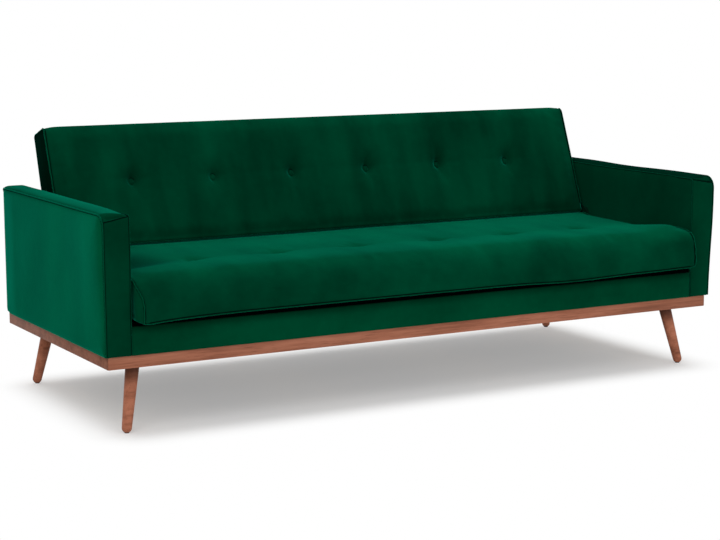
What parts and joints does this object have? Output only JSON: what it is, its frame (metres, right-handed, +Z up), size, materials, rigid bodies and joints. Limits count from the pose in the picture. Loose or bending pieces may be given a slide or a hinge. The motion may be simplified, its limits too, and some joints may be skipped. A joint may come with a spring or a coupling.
{
  "type": "futon sofa bed",
  "caption": "Click-clack sofa bed with box arms on a timber plinth and splayed legs: the buttoned back drops level with the seat, and the seat lifts off a bedding box.",
  "frame": {"origin": "centre of the footprint on the floor, under the middle of the bounding box", "axes": "+X along the sofa to the right as seen from the front, -Y to the front, +Z up"},
  "size_m": [2.139, 0.918, 0.8247],
  "materials": {
    "velvet": "deep emerald velvet with a short nap",
    "stained_wood": "red-brown stained, satin lacquer",
    "plain_wood": "unfinished softwood and ply",
    "black_steel": "black powder coat",
    "plated_steel": "zinc plated",
    "foam": "upholstery foam",
    "black_cloth": "woven polypropylene",
    "black_rubber": "matt",
    "nylon": "natural nylon"
  },
  "bodies": {
    "base": {"leg_front_left": "stained_wood", "leg_front_right": "stained_wood", "leg_rear_left": "stained_wood", "leg_rear_right": "stained_wood", "leg_glides": "black_rubber", "leg_plates": "black_steel", "leg_plate_screws": "plated_steel", "hanger_bolts": "plated_steel", "plinth_front": "stained_wood", "plinth_rear": "stained_wood", "plinth_left": "stained_wood", "plinth_right": "stained_wood", "corner_blocks": "plain_wood", "cross_bearers": "plain_wood", "box_floor": "plain_wood", "apron_board": "plain_wood", "rear_board": "plain_wood", "side_board_left": "plain_wood", "side_board_right": "plain_wood", "apron_cover": "velvet", "rear_cover": "velvet", "seat_bumpers": "black_rubber", "back_bumpers": "black_rubber", "arm_frame_left": "plain_wood", "arm_frame_right": "plain_wood", "arm_panels_left": "plain_wood", "arm_panels_right": "plain_wood", "arm_padding_left": "foam", "arm_padding_right": "foam", "arm_cover_left": "velvet", "arm_cover_right": "velvet", "arm_bolts": "plated_steel", "arm_tee_nuts": "plated_steel", "hinge_bracket_left": "black_steel", "hinge_bracket_right": "black_steel", "hinge_bracket_screws": "plated_steel", "pivot_pins": "plated_steel", "pivot_washers": "nylon"},
    "seat": {"seat_frame": "black_steel", "seat_springs": "plated_steel", "seat_spring_clips": "plated_steel", "seat_foam": "foam", "seat_cover": "velvet", "seat_dust_cloth": "black_cloth", "seat_buttons": "velvet", "seat_leaf_left": "black_steel", "seat_leaf_right": "black_steel", "seat_leaf_bolts": "plated_steel"},
    "back": {"back_frame": "black_steel", "back_webbing": "black_cloth", "back_foam": "foam", "back_cover": "velvet", "back_buttons": "velvet", "back_leaf_left": "black_steel", "back_leaf_right": "black_steel", "back_leaf_bolts": "plated_steel"}
  },
  "joints": [
    {"name": "back_recline", "type": "hinge", "parent": "base", "child": "back", "pos_m": [0, 0.163, 0.459], "axis": [-1, 0, 0], "range_deg": [0, 68.4]},
    {"name": "seat_lift", "type": "hinge", "parent": "base", "child": "seat", "pos_m": [0, 0.163, 0.459], "axis": [-1, 0, 0], "range_deg": [0, 50]}
  ]
}
